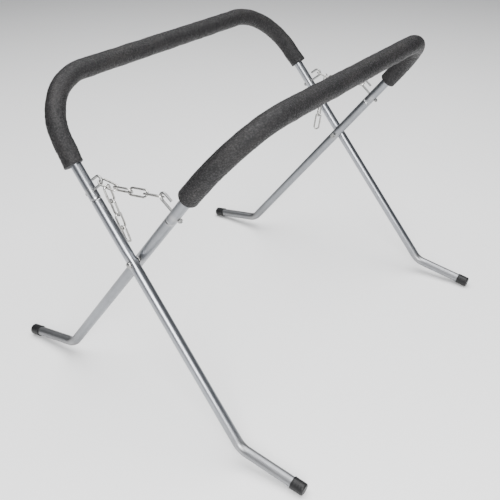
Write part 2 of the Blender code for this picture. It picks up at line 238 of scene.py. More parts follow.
class Graph:
    """Node tree of one material, with the one method that adds any node."""

    def __init__(self, name):
        self.material = bpy.data.materials.new(name)
        self.material.use_nodes = True
        self.tree = self.material.node_tree
        self.shader = self.tree.nodes["Principled BSDF"]

    def node(self, kind, settings=None, inputs=None, output=0):
        added = self.tree.nodes.new(kind)
        for key, value in (settings or {}).items():
            if key == "stops":
                self.set_stops(added.color_ramp, value)
            else:
                setattr(added, key, value)
        for key, value in (inputs or {}).items():
            self.feed(added.inputs[key], value)
        return Socket(self, added.outputs[output])

    def set_stops(self, ramp, stops):
        while len(ramp.elements) < len(stops):
            ramp.elements.new(1.0)
        for element, (position, value) in zip(ramp.elements, stops):
            element.position = position
            element.color = (value, value, value, 1.0)

    def feed(self, socket, value):
        if isinstance(value, Socket):
            self.tree.links.new(value.output, socket)
        elif hasattr(value, "__len__") and len(value) == 3 and socket.type == "RGBA":
            socket.default_value = (*value, 1.0)
        else:
            socket.default_value = value

    def set(self, **values):
        for key, value in values.items():
            self.feed(self.shader.inputs[key.replace("_", " ").title().replace("Ior", "IOR")], value)

    def place(self):
        return self.node("ShaderNodeTexCoord", output="Object")

    def along(self):
        """The piece's own map: metres along its path, and metres round it."""
        return self.node("ShaderNodeUVMap", {"uv_map": "along"})

    def stretched(self, vector, scale):
        return self.node("ShaderNodeMapping", {}, {"Vector": vector, "Scale": scale})

    def noise(self, vector, scale, detail=4.0, roughness=0.55, distortion=0.0):
        return self.node(
            "ShaderNodeTexNoise",
            {},
            {"Vector": vector, "Scale": scale, "Detail": detail, "Roughness": roughness,
             "Distortion": distortion},
        )

    def cells(self, vector, scale, feature="F1", randomness=1.0):
        return self.node(
            "ShaderNodeTexVoronoi",
            {"feature": feature},
            {"Vector": vector, "Scale": scale, "Randomness": randomness},
        )

    def ramp(self, value, stops):
        return self.node("ShaderNodeValToRGB", {"stops": stops}, {0: value})

    def mix(self, factor, first, second):
        return self.node(
            "ShaderNodeMix",
            {"data_type": "RGBA"},
            {"Factor": factor, 6: first, 7: second},
            output=2,
        )

    def painted(self, name):
        """Value painted on the mesh when the piece was made."""
        return self.node("ShaderNodeAttribute", {"attribute_name": name}, output="Fac")

    def bump(self, height, distance, strength=1.0):
        return self.node(
            "ShaderNodeBump", {}, {"Height": height, "Distance": distance, "Strength": strength}
        )


# Finishes


def zinc_tube(colours, name, shade):
    """Bright zinc on drawn tube: fine lines along it, dulled clouds, small scuffs, bare rubbed rings. The
    shade argument is painted shade: it darkens the whole tube towards the dulled colour.
    """
    graph = Graph(name)
    along = graph.along()
    place = graph.place()
    lines = graph.noise(graph.stretched(along, (14.0, 1500.0, 1.0)), 1.0, 3.0)
    broad = graph.noise(graph.stretched(along, (4.0, 160.0, 1.0)), 1.0, 3.0)
    clouds = graph.noise(place, 26.0, 5.0, 0.6)
    specks = graph.noise(place, 900.0, 2.0, 0.6)
    scuffs = graph.ramp(graph.noise(graph.stretched(place, (60.0, 220.0, 220.0)), 1.0, 6.0, 0.7, 0.8),
                        ((0.60, 0.0), (0.68, 1.0)))
    wear = graph.painted("wear")
    soil = graph.painted("soil")
    # Dulled clouds plus painted shade: shade is 0 on the outer frame and 0.34 on the inner frame, a shaded
    # copy of the same zinc.
    dull_and_painted_shade = (clouds * 0.55 + broad * 0.35 + lines * 0.25 - 0.28 + shade).clamped()
    base = graph.mix(dull_and_painted_shade, colours.zinc, colours.zinc_dark)
    base = graph.mix((specks * 0.22).clamped(), base, (0.48, 0.50, 0.54))
    base = graph.mix((wear * 0.6).clamped(), base, (0.46, 0.455, 0.45))
    grime = (soil * graph.noise(place, 55.0, 6.0, 0.7) * 1.1).clamped()
    base = graph.mix(grime * 0.55, base, colours.dust)
    rough = 0.23 + lines * 0.09 + clouds * 0.12 + scuffs * 0.10 + grime * 0.28 - wear * 0.06
    height = lines * 0.6 + specks * 0.5 - scuffs * 0.8
    graph.set(base_color=base, metallic=1.0, roughness=rough.clamped())
    graph.set(normal=graph.bump(height, 0.00006, 0.55))
    return graph.material


def zinc_hardware(colours, name, tint):
    """Zinc on bolts and hooks: fine crystals, rubbed edges and dark crevices."""
    graph = Graph(name)
    place = graph.place()
    crystals = graph.cells(place, 950.0)
    clouds = graph.noise(place, 120.0, 5.0, 0.6)
    wear = graph.painted("wear")
    base = graph.mix((clouds * 0.9 - 0.1).clamped(), tint, colours.zinc_dark)
    base = graph.mix((wear * 0.7).clamped(), base, (0.55, 0.54, 0.53))
    graph.set(base_color=base, metallic=1.0)
    graph.set(roughness=(0.24 + clouds * 0.22 + crystals * 0.08 - wear * 0.08).clamped())
    graph.set(normal=graph.bump(crystals + clouds, 0.00005, 0.5))
    return graph.material


def zinc_chain(colours):
    """Barrel-plated chain: bright where links rub, grey and uneven between, darker at the weld, with painted
    shade on the inside of each link.
    """
    graph = Graph("chain_zinc")
    place = graph.place()
    clouds = graph.noise(place, 210.0, 5.0, 0.65)
    pits = graph.noise(place, 900.0, 3.0, 0.6)
    wear = graph.painted("wear")
    crease = graph.painted("crease")
    base = graph.mix((clouds * 1.3 - 0.35).clamped(), colours.chain, colours.bolts)
    # crease darkens the weld and paints shade on the inside of each link.
    base = graph.mix((crease * 0.75).clamped(), base, colours.chain_weld_and_shade)
    base = graph.mix((wear * 0.75).clamped(), base, (0.62, 0.61, 0.59))
    graph.set(base_color=base, metallic=1.0)
    graph.set(roughness=(0.20 + clouds * 0.20 + crease * 0.2 - wear * 0.10).clamped())
    graph.set(normal=graph.bump(clouds + pits * 0.6, 0.00012, 0.6))
    return graph.material


def foam_skin(colours):
    """Moulded foam: pebbled skin, finer creases between, lighter dusty streaks, and porous cut ends. The
    creases, the pebbles' edges and the pores of the cut ends are darkened with painted shade.
    """
    graph = Graph("charcoal_foam")
    place = graph.place()
    pebbles = graph.cells(place, 420.0, "DISTANCE_TO_EDGE")
    fine = graph.noise(place, 1300.0, 4.0, 0.65)
    patches = graph.noise(place, 14.0, 4.0, 0.6)
    marks = graph.noise(graph.stretched(graph.along(), (9.0, 34.0, 1.0)), 1.0, 5.0, 0.65)
    crease = graph.painted("crease")
    cut = graph.painted("cut")
    # raised is 0 at the pebbles' edges, so the colour there goes to painted shade.
    raised = graph.ramp(pebbles, ((0.02, 0.0), (0.28, 1.0)))
    # Random tone from fine and patches, and painted shade in the creases from raised and crease.
    skin = (raised * 0.45 + fine * 0.55 + patches * 0.3 - crease * 0.55 - 0.05).clamped()
    base = graph.mix(skin, colours.foam_painted_shade, colours.foam)
    base = graph.mix((marks * 1.6 - 0.75).clamped() * 0.35, base, (0.075, 0.066, 0.060))
    pores = graph.cells(place, 800.0)
    # Painted shade in the pores: their middles go to the near-black.
    porous = graph.mix((pores * 1.5).clamped(), colours.foam_painted_shade, colours.foam_core)
    base = graph.mix(cut, base, porous)
    graph.set(base_color=base, metallic=0.0, specular_ior_level=0.34)
    graph.set(roughness=(0.20 + fine * 0.22 + crease * 0.30 + patches * 0.10 + cut * 0.3).clamped())
    height = raised * 0.6 + fine * 0.55 - cut * pores * 1.4
    graph.set(normal=graph.bump(height, 0.0007, 1.0))
    return graph.material


def black_vinyl(colours):
    """Dipped vinyl: soft gloss, faint flow marks, dust and scuffs towards the floor."""
    graph = Graph("black_vinyl")
    place = graph.place()
    flow = graph.noise(place, 75.0, 4.0, 0.55)
    fine = graph.noise(place, 1400.0, 3.0, 0.6)
    soil = graph.painted("soil")
    scuffs = graph.ramp(graph.noise(graph.stretched(place, (260.0, 90.0, 420.0)), 1.0, 6.0, 0.7),
                        ((0.52, 0.0), (0.66, 1.0)))
    grime = (soil * (0.25 + scuffs * 0.75)).clamped()
    base = graph.mix((flow * 0.5).clamped(), colours.vinyl, (0.014, 0.014, 0.015))
    base = graph.mix(grime * 0.45, base, colours.dust)
    graph.set(base_color=base, metallic=0.0, specular_ior_level=0.3)
    graph.set(roughness=(0.36 + flow * 0.16 + grime * 0.35 + fine * 0.05).clamped())
    graph.set(normal=graph.bump(flow * 1.2 + fine * 0.35 - grime, 0.00012, 0.6))
    return graph.material


def floor_paint(colours):
    graph = Graph("studio_floor")
    clouds = graph.noise(graph.place(), 1.4, 3.0)
    graph.set(base_color=graph.mix(clouds * 0.05, colours.floor, (0.80, 0.80, 0.80)), roughness=0.75)
    return graph.material


def finish(name):
    """The named finish, made the first time that it is asked for."""
    if name in bpy.data.materials and name in made_finishes:
        return bpy.data.materials[name]
    colours = bpy.context.scene.sawhorse_colours
    made_finishes.add(name)
    recipes = {
        "outer_zinc": lambda: zinc_tube(colours, "outer_zinc", 0.0),
        # The inner frame's tubes: the same zinc with 0.34 of painted shade.
        "inner_zinc": lambda: zinc_tube(colours, "inner_zinc", 0.34),
        "bolt_zinc": lambda: zinc_hardware(colours, "bolt_zinc", colours.bolts),
        "chain_zinc": lambda: zinc_chain(colours),
        "charcoal_foam": lambda: foam_skin(colours),
        "black_vinyl": lambda: black_vinyl(colours),
        "studio_floor": lambda: floor_paint(colours),
    }
    plain_one = bpy.data.materials.get(name)
    if plain_one:
        plain_one.name = name + "_plain"
    material = recipes[name]()
    material.name = name
    return material


made_finishes = set()


# Surfaces


def unit(vectors):
    vectors = np.asarray(vectors, float)
    return vectors / np.linalg.norm(vectors, axis=-1, keepdims=True)


def smooth(low, high, values):
    """Smoothstep: 0 below low, 1 above high, and 3t^2 - 2t^3 between."""
    t = np.clip((values - low) / (high - low), 0.0, 1.0)
    return t * t * (3 - 2 * t)


class Path:
    """Straight runs joined by arcs in one plane, measured by the distance along it.

    Each corner turns by the angle between its runs. An arc of radius r starts
    r tan(turn / 2) before its corner. A point at distance t into an arc is
    start + dir r sin(t / r) + inward r (1 - cos(t / r)).
    """

    def __init__(self, corners, radii):
        corners = np.asarray(corners, float)
        runs = np.diff(corners, axis=0)
        ways = unit(runs)
        turns = np.arccos(np.clip((ways[:-1] * ways[1:]).sum(1), -1, 1))
        radii = np.broadcast_to(radii, turns.shape)
        cuts = radii * np.tan(turns / 2)
        ends = np.concatenate([[0.0], cuts, [0.0]])
        inward = unit(ways[1:] - ways[:-1] * (ways[:-1] * ways[1:]).sum(1, keepdims=True))
        count = 2 * len(turns) + 1
        self.start = np.zeros((count, 3))
        self.way = np.zeros((count, 3))
        self.inward = np.zeros((count, 3))
        self.bend = np.zeros(count)
        lengths = np.zeros(count)
        self.start[0::2] = corners[:-1] + ways * ends[:-1, None]
        self.start[1::2] = corners[1:-1] - ways[:-1] * cuts[:, None]
        self.way[0::2] = ways
        self.way[1::2] = ways[:-1]
        self.inward[1::2] = inward
        self.bend[1::2] = 1 / radii
        lengths[0::2] = np.linalg.norm(runs, axis=1) - ends[:-1] - ends[1:]
        lengths[1::2] = radii * turns
        self.knots = np.concatenate([[0.0], np.cumsum(lengths)])
        self.length = self.knots[-1]
        self.normal = unit(np.cross(ways[0], ways[1]))

    def at(self, distance):
        """Points, directions and inward directions at these distances."""
        distance = np.asarray(distance, float)
        piece = np.clip(np.searchsorted(self.knots, distance, side="right") - 1, 0, len(self.bend) - 1)
        t = distance - self.knots[piece]
        bend = self.bend[piece]
        bent = bend > 0
        safe = np.where(bent, bend, 1.0)
        forward = np.where(bent, np.sin(t * safe) / safe, t)
        across = np.where(bent, (1 - np.cos(t * safe)) / safe, 0.0)
        way = self.way[piece]
        inward = self.inward[piece]
        points = self.start[piece] + way * forward[:, None] + inward * across[:, None]
        turn = t * bend
        ways = way * np.cos(turn)[:, None] + inward * np.sin(turn)[:, None]
        return points, ways, np.cross(self.normal, ways)

    def steps(self, start, end, straight, curved):
        """Distances from start to end, closer together in the arcs."""
        marks = [np.array([start, end])]
        for index in range(len(self.bend)):
            low = max(self.knots[index], start)
            high = min(self.knots[index + 1], end)
            if high > low:
                pitch = curved if self.bend[index] > 0 else straight
                marks.append(np.linspace(low, high, max(2, round((high - low) / pitch) + 1)))
        merged = np.unique(np.round(np.concatenate(marks), 7))
        return merged


def tube_grid(path, distance, radius, sides, shift=None):
    """Rings about a path: point + radius (cos a inward + sin a normal), for a from 0 to a full turn.

    radius is one value per ring, or one per ring and side. shift moves a ring's
    middle inwards, with one value per ring.
    """
    points, _, inward = path.at(distance)
    if shift is not None:
        points = points + inward * shift[:, None]
    around = np.arange(sides) / sides * TURN
    radius = np.asarray(radius, float)
    if radius.ndim == 1:
        radius = radius[:, None]
    ring = np.cos(around)[None, :, None] * inward[:, None, :]
    ring = ring + np.sin(around)[None, :, None] * path.normal
    return points[:, None, :] + radius[:, :, None] * ring


def turned_grid(centre, axis, radius, height, sides):
    """Rings of a turned piece: centre + axis height + radius (cos a x + sin a y)."""
    axis = unit(axis)
    helper = np.array([0.0, 0.0, 1.0]) if abs(axis[2]) < 0.9 else np.array([1.0, 0.0, 0.0])
    x = unit(np.cross(helper, axis))
    y = np.cross(axis, x)
    around = np.arange(sides) / sides * TURN
    radius = np.asarray(radius, float)
    if radius.ndim == 1:
        radius = radius[:, None]
    height = np.asarray(height, float)
    if height.ndim == 1:
        height = height[:, None]
    ring = np.cos(around)[:, None] * x + np.sin(around)[:, None] * y
    return centre + height[:, :, None] * axis + radius[:, :, None] * ring[None]


def lattice_hash(cells, seed):
    """Repeatable value from 0 to 1 for each whole-number cell: frac(sin(cell . k + seed) m)."""
    mixed = cells @ np.array([127.1, 311.7, 74.7]) + seed * 19.19
    return np.abs(np.sin(mixed) * 43758.5453) % 1.0


def pebbles(points, size, seed=1.0):
    """Pebbled field: for one random seed in each cell, distance to the second nearest less the nearest."""
    scaled = points / size
    cell = np.floor(scaled)
    nearest = np.full(len(points), 9.0)
    second = np.full(len(points), 9.0)
    for step in np.ndindex(3, 3, 3):
        other = cell + (np.array(step) - 1)
        spot = np.stack([lattice_hash(other, seed + k) for k in range(3)], 1)
        distance = np.linalg.norm(other + spot - scaled, axis=1)
        closer = distance < nearest
        second = np.where(closer, nearest, np.minimum(second, distance))
        nearest = np.where(closer, distance, nearest)
    return second - nearest


def waves(points, size, seed, count=24):
    """Soft random field from -1 to 1: mean of plane waves in random directions, each about size long."""
    random = np.random.default_rng(seed)
    ways = unit(random.normal(size=(count, 3))) * random.uniform(0.7, 1.5, (count, 1)) / size
    phases = random.uniform(0, TURN, count)
    return np.sin(points @ ways.T * TURN + phases).sum(1) * (1.4 / math.sqrt(count)) * 0.7


def add_surface(name, grid, material, wrap_rings=False, painted=None, lap=None):
    """Mesh of a grid of points: rings by sides, closed round the sides, and round the rings if asked.

    Its own map gives metres along and metres round, worked out from the grid's mean spacing.
    """
    rings, sides = grid.shape[:2]
    spans = rings if wrap_rings else rings - 1
    row = np.arange(spans)[:, None]
    column = np.arange(sides)[None, :]
    row_next = (row + 1) % rings
    column_next = (column + 1) % sides
    corner = [
        row * sides + column,
        row_next * sides + column,
        row_next * sides + column_next,
        row * sides + column_next,
    ]
    faces = np.stack(corner, axis=-1).reshape(-1, 4)
    centres = grid.mean(axis=1)
    steps = np.linalg.norm(np.diff(centres, axis=0, append=centres[:1]), axis=1)
    away = np.linalg.norm(grid - centres[:, None], axis=2).mean(1)
    steps = np.hypot(steps, np.diff(away, append=away[:1]))
    along = np.concatenate([[0.0], np.cumsum(steps)])
    girth = (lap or float(np.median(away)) * TURN) / sides
    u = np.stack([along[row] + 0 * column, along[row + 1] + 0 * column] * 2, -1)
    u = u[..., [0, 1, 3, 2]]
    v = np.stack([column + 0 * row, column + 1 + 0 * row], -1) * girth
    v = v[..., [0, 0, 1, 1]]
    mesh = bpy.data.meshes.new(name)
    mesh.from_pydata(grid.reshape(-1, 3), [], faces)
    layer = mesh.uv_layers.new(name="along")
    layer.data.foreach_set("uv", np.stack([u, v], -1).reshape(-1).astype(np.float32))
    for key in ("wear", "soil", "crease", "cut"):
        values = (painted or {}).get(key)
        attribute = mesh.attributes.new(key, "FLOAT", "POINT")
        if values is not None:
            values = np.broadcast_to(values, grid.shape[:2]).reshape(-1)
            attribute.data.foreach_set("value", values.astype(np.float32))
    work = bmesh.new()
    work.from_mesh(mesh)
    bmesh.ops.remove_doubles(work, verts=work.verts, dist=1e-6)
    bmesh.ops.recalc_face_normals(work, faces=work.faces)
    work.to_mesh(mesh)
    work.free()
    mesh.shade_smooth()
    mesh.set_sharp_from_angle(angle=SHARP_ANGLE)
    mesh.materials.append(material)
    piece = bpy.data.objects.new(name, mesh)
    bpy.context.scene.collection.objects.link(piece)
    return piece


def stand_for(piece, node):
    """The piece rides where the CAD node rides, and is shown in its place."""
    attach(piece, frame["nodes"][node]["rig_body"])
    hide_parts(node)
    return piece


def near(points, spot, reach):
    """1 at a spot, falling smoothly to 0 at reach from it."""
    return 1 - smooth(0.0, reach, np.linalg.norm(points - spot, axis=-1))


def soil_height(points):
    """Dust that gathers low down: 1 on the floor and 0 above 160 mm."""
    return 1 - smooth(0.0, SOIL_REACH, points[..., 2])


# The two crossing frames


class CrossFrame:
    """One frame, drawn upright about the pivot and leaned to where it stands."""

    def __init__(self, name):
        sizes = bpy.context.scene.sawhorse_sizes
        self.name = name
        self.sizes = sizes
        self.facing = 1 if name == "outer" else -1
        self.half_width = sizes.half_width - (0 if name == "outer" else sizes.tube_spacing)
        self.splay = sizes.outer_splay if name == "outer" else sizes.inner_splay
        lean = self.facing * sizes.half_opening
        c, s = math.cos(lean), math.sin(lean)
        self.turn = np.array([[1, 0, 0], [0, c, -s], [0, s, c]])
        self.pivot = np.array([0, 0, PIVOT_HEIGHT])

    def world(self, points):
        return np.asarray(points, float) @ self.turn.T + self.pivot

    def leg_point(self, side, reach, offset=0.0):
        x = side * (self.half_width + self.splay * reach)
        return np.array([x, self.facing * offset, reach])

    def leg_way(self, side):
        return unit([side * self.splay, 0, 1])

    def foot_way(self):
        slope = self.sizes.half_opening + self.sizes.foot_drop
        return np.array([0, self.facing * math.cos(slope), -math.sin(slope)])

    def foot_end(self, side):
        return self.leg_point(side, -self.sizes.leg_reach) + self.foot_way() * self.sizes.foot

    def hoop_path(self, start):
        sizes = self.sizes
        corners = [
            self.leg_point(1, start),
            self.leg_point(1, sizes.hoop_reach),
            self.leg_point(-1, sizes.hoop_reach),
            self.leg_point(-1, start),
        ]
        return Path(self.world(corners), sizes.corner_radius)

    def leg_path(self, side):
        sizes = self.sizes
        end = self.foot_end(side) - self.foot_way() * (sizes.cap_floor + sizes.gap)
        corners = [
            self.leg_point(side, sizes.seam_reach + sizes.neck),
            self.leg_point(side, -sizes.leg_reach),
            end,
        ]
        return Path(self.world(corners), sizes.foot_bend)

    def zinc(self):
        return finish(self.name + "_zinc")


def lip(start, radius, inner, rounding, steps, facing):
    """Distances and radii of a tube's rounded end, from its outside to its inside."""
    sweep = np.linspace(0, math.pi, steps)
    middle = (radius + inner) / 2
    half = (radius - inner) / 2
    return start + facing * rounding * np.sin(sweep), middle + half * np.cos(sweep)


def closed_tube(marks, radius, inner):
    """Distances and radii down the outside, round one end, back up the bore and round the other end."""
    rounding = 0.35 * (radius.mean() - inner)
    far_s, far_r = lip(marks[-1] - rounding, radius[-1], inner, rounding, LIP_STEPS, 1)
    near_s, near_r = lip(marks[0] + rounding, radius[0], inner, rounding, LIP_STEPS, -1)
    outer = slice(1, -1)
    bore = np.linspace(marks[-1] - rounding, marks[0] + rounding, BORE_RINGS)[1:-1]
    distance = np.concatenate([marks[outer], far_s, bore, near_s[::-1]])
    radii = np.concatenate([radius[outer], far_r, np.full(len(bore), inner), near_r[::-1]])
    return distance, radii


class SAWHORSE_OT_hoops(bpy.types.Operator):
    """Bent steel hoops with rounded tube ends"""

    bl_idname = "sawhorse.hoops"
    bl_label = "Hoops"

    def execute(self, context):
        for name in FRAMES:
            self.build(CrossFrame(name))
        return {"FINISHED"}

    def build(self, cross):
        sizes = cross.sizes
        path = cross.hoop_path(sizes.seam_reach)
        marks = path.steps(0.0, path.length, 6 * MM, 4 * MM)
        radius = np.full(len(marks), sizes.tube / 2)
        end = np.minimum(marks, path.length - marks)
        radius = radius + 0.35 * MM * (1 - smooth(0.0, 5 * MM, end))
        distance, radii = closed_tube(marks, radius, sizes.tube / 2 - sizes.wall)
        grid = tube_grid(path, distance, radii, TUBE_SIDES)
        seam = np.minimum(distance, path.length - distance)
        rubbed = 0.8 * (1 - smooth(0.0, 7 * MM, seam))
        for _, side in SIDES:
            hole = cross.world(cross.leg_point(side, sizes.hook_reach))
            rubbed = rubbed + 0.7 * near(grid.mean(1), hole, 13 * MM)
        piece = add_surface(
            cross.name + "_hoop_tube", grid, cross.zinc(), True, {"wear": rubbed[:, None]},
        )
        stand_for(piece, cross.name + "_hoop")


class SAWHORSE_OT_legs(bpy.types.Operator):
    """Lower legs with swaged necks, bent feet and open ends"""

    bl_idname = "sawhorse.legs"
    bl_label = "Legs"

    def execute(self, context):
        for name in FRAMES:
            cross = CrossFrame(name)
            for side_name, side in SIDES:
                self.build(cross, side_name, side)
        return {"FINISHED"}

    def build(self, cross, side_name, side):
        sizes = cross.sizes
        path = cross.leg_path(side)
        marks = path.steps(0.0, path.length, 5 * MM, 2.5 * MM)
        swage = np.linspace(sizes.neck - 2 * MM, sizes.neck + sizes.shoulder + 2 * MM, 16)
        marks = np.unique(np.concatenate([marks, swage]))
        full = sizes.tube / 2
        thin = full - sizes.wall - sizes.gap
        radius = thin + (full - thin) * smooth(sizes.neck + sizes.gap, sizes.neck + sizes.shoulder, marks)
        distance, radii = closed_tube(marks, radius, thin - sizes.wall)
        bend = np.abs(distance - (path.knots[1] + path.knots[2]) / 2)
        pinch = 1 - smooth(0.0, 34 * MM, bend)
        around = np.arange(TUBE_SIDES) / TUBE_SIDES * TURN
        crossing = np.linalg.norm(path.at(distance)[0] - cross.world([side * cross.half_width, 0, 0]), axis=1)
        dent = 1 - smooth(5 * MM, 26 * MM, crossing)
        outside = unit(np.array([side, 0, 0]) * (1 if cross.name == "outer" else -1))
        _, _, inward = path.at(distance)
        ring = np.cos(around)[None, :, None] * inward[:, None] + np.sin(around)[None, :, None] * path.normal
        facing = np.abs(ring @ outside)
        oval = 1 - 0.055 * pinch[:, None] * np.cos(2 * around)[None]
        press = 1 - 0.06 * dent[:, None] * smooth(0.55, 1.0, facing)
        grid = tube_grid(path, distance, radii[:, None] * oval * press, TUBE_SIDES)
        wear = 0.75 * near(grid, cross.world([side * cross.half_width, 0, 0]), 30 * MM)
        wear = wear + 0.45 * pinch[:, None]
        wear = wear + 0.6 * (1 - smooth(0, 6 * MM, np.abs(distance - sizes.neck - 3 * MM)))[:, None]
        name = f"{cross.name}_leg_{side_name}"
        piece = add_surface(
            name + "_tube", grid, cross.zinc(), True, {"wear": wear, "soil": soil_height(grid)}
        )
        stand_for(piece, name)


class SAWHORSE_OT_foam(bpy.types.Operator):
    """Foam sleeves with a pebbled skin, soft ruts at the corners and square cut ends"""

    bl_idname = "sawhorse.foam"
    bl_label = "Foam sleeves"

    def execute(self, context):
        for seed, name in enumerate(FRAMES):
            self.build(CrossFrame(name), seed)
        return {"FINISHED"}

    def build(self, cross, seed):
        sizes = cross.sizes
        sides = 96
        path = cross.hoop_path(sizes.foam_start)
        bore = sizes.tube / 2 + sizes.gap
        full = sizes.foam / 2
        soft = 2.2 * MM
        marks = np.linspace(soft, path.length - soft, 830)
        ease = np.linspace(0, math.pi / 2, 6)
        start = soft * (1 - np.cos(ease))
        rounding = full - soft * (1 - np.sin(ease))
        face = np.linspace(full - soft, bore, 6)[1:]
        inside = np.linspace(0.0, path.length, 40)[1:-1]
        distance = np.concatenate(
            [start[:-1], marks, path.length - start[::-1][1:], np.full(5, path.length),
             inside[::-1], np.zeros(5)]
        )
        radii = np.concatenate(
            [rounding[:-1], np.full(len(marks), full), rounding[::-1][1:], face,
             np.full(len(inside), bore), face[::-1]]
        )
        end = np.minimum(distance, path.length - distance)
        skin = radii > bore + 0.1 * MM
        loose = (1 - smooth(0.0, 46 * MM, end)) * skin
        shift = -sizes.foam_shift * loose * np.clip((radii - bore) / (full - bore), 0, 1)
        grid = tube_grid(path, distance, radii, sides, shift)
        flat = grid.reshape(-1, 3)
        out = unit(grid - tube_grid(path, distance, np.zeros(len(distance)), 1, shift)).reshape(-1, 3)
        cover = np.repeat(np.clip((radii - bore) / (full - bore), 0, 1) ** 2, sides)
        crease = 1 - smooth(0.05, 0.34, pebbles(flat, sizes.grain, seed * 7.0))
        swell = waves(flat, 60 * MM, seed + 5) * 0.35 * MM + waves(flat, 17 * MM, seed + 9) * 0.16 * MM
        ruts = self.ruts(path, distance, sides)
        depth = crease * sizes.grain_depth
        moved = flat + out * ((swell - depth - ruts.reshape(-1)) * cover)[:, None]
        cut = np.repeat(((end < 0.3 * MM) & skin).astype(float), sides)
        # crease also goes to the material, where it paints shade into the creases.
        painted = {
            "crease": np.clip(crease * cover, 0, 1).reshape(grid.shape[:2]),
            "cut": cut.reshape(grid.shape[:2]),
        }
        piece = add_surface(
            cross.name + "_foam_sleeve", moved.reshape(grid.shape), finish("charcoal_foam"), True,
            painted, TURN * full,
        )
        stand_for(piece, cross.name + "_foam")

    def ruts(self, path, distance, sides):
        """Shallow folds across the inside of each corner, where the sleeve is pushed together."""
        around = np.arange(sides) / sides * TURN
        inner = smooth(0.35, 1.0, np.cos(around))[None, :]
        total = np.zeros((len(distance), sides))
        for low, high in ((path.knots[1], path.knots[2]), (path.knots[3], path.knots[4])):
            middle = (low + high) / 2
            reach = (high - low) / 2
            fade = 1 - smooth(0.55 * reach, reach, np.abs(distance - middle))
            fold = np.sin((distance - middle) / (21 * MM) * TURN) ** 2
            total += (fade * fold)[:, None] * inner * 0.55 * MM
        return total


class SAWHORSE_OT_caps(bpy.types.Operator):
    """Dipped vinyl end caps with a rolled lip and a worn standing edge"""

    bl_idname = "sawhorse.caps"
    bl_label = "End caps"

    def execute(self, context):
        for name in FRAMES:
            cross = CrossFrame(name)
            for side_name, side in SIDES:
                self.build(cross, side_name, side)
        return {"FINISHED"}

    def build(self, cross, side_name, side):
        sizes = cross.sizes
        bore = sizes.tube / 2 + sizes.gap
        full = bore + sizes.cap_wall
        ease = np.linspace(0, math.pi / 2, 10)
        nose = 4.2 * MM
        radius = [[0.0], np.linspace(2 * MM, full - nose, 8), full - nose * (1 - np.sin(ease))[1:]]
        height = [[0.0], np.zeros(8), -nose * (1 - np.cos(ease))[1:]]
        barrel = np.linspace(-nose, -sizes.cap + 3 * MM, 20)[1:]
        radius.append(full + 0.12 * MM * np.sin(barrel / (7 * MM) * TURN))
        height.append(barrel)
        roll = np.linspace(0, math.pi, 9)
        lip_middle = -sizes.cap + 1.1 * MM
        radius.append(full - 0.3 * MM + 0.8 * MM * np.sin(roll))
        height.append(lip_middle + 1.1 * MM * np.cos(roll))
        radius.append([bore, bore, 0.0])
        height.append([-sizes.cap + 0.5 * MM, -sizes.cap_floor, -sizes.cap_floor])
        radius = np.concatenate(radius)
        height = np.concatenate(height)
        centre = cross.world(cross.foot_end(side))
        axis = cross.foot_way() @ cross.turn.T
        grid = turned_grid(centre, axis, radius, height, 72)
        floor = grid[..., 2] < 0.0
        grid[..., 2] = np.where(floor, grid[..., 2] * 0.02, grid[..., 2])
        soil = 1 - smooth(1 * MM, 15 * MM, grid[..., 2])
        name = f"{cross.name}_cap_{side_name}"
        piece = add_surface(name + "_vinyl", grid, finish("black_vinyl"), False, {"soil": soil})
        stand_for(piece, name)


# Hardware


def threaded(radius, depth, pitch, height, sides):
    """Radius of a cut thread: depth times a triangle wave of height / pitch less the turn."""
    around = np.arange(sides) / sides
    phase = (height[:, None] / pitch - around[None, :]) % 1.0
    return radius - depth * np.abs(2 * phase - 1)


def nut_grid(centre, axis, flats, height, bore, sides=72):
    """Hexagon nut: each ring's radius is the hexagon's, cut by the chamfer's cone at both ends."""
    around = np.arange(sides) / sides * TURN
    hexagon = flats / 2 / np.cos((around + math.pi / 6) % (math.pi / 3) - math.pi / 6)
    corner = flats / math.sqrt(3)
    rise = np.concatenate([np.linspace(-0.5, -0.36, 5), np.linspace(-0.3, 0.3, 5), np.linspace(0.36, 0.5, 5)])
    cone = corner - np.clip(np.abs(rise) - 0.36, 0, 1) / 0.14 * (corner - flats / 2 * 0.97)
    outer = np.minimum(hexagon[None, :], cone[:, None])
    turns = np.linspace(0.5, -0.5, 40)
    inner = threaded(bore + 0.35 * MM, 0.35 * MM, 1.1 * MM, turns * height, sides)
    radius = np.concatenate([outer, inner])
    heights = np.concatenate([rise, turns]) * height
    return turned_grid(centre, axis, radius, heights[:, None] + 0 * radius, sides)


def edge_wear(grid, centre, axis, high):
    """Rubbed corners: 1 far from the axis and 0 within high of it."""
    away = grid - centre
    away = away - (away @ unit(axis))[..., None] * unit(axis)
    return smooth(high * 0.88, high, np.linalg.norm(away, axis=2))


def add_nut(node, flats, height, bore, axis):
    low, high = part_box(node)
    centre = (np.array(low) + np.array(high)) / 2
    grid = nut_grid(centre, axis, flats, height, bore)
    wear = edge_wear(grid, centre, axis, flats / math.sqrt(3))
    piece = add_surface(node + "_hex", grid, finish("bolt_zinc"), True, {"wear": wear})
    stand_for(piece, node)


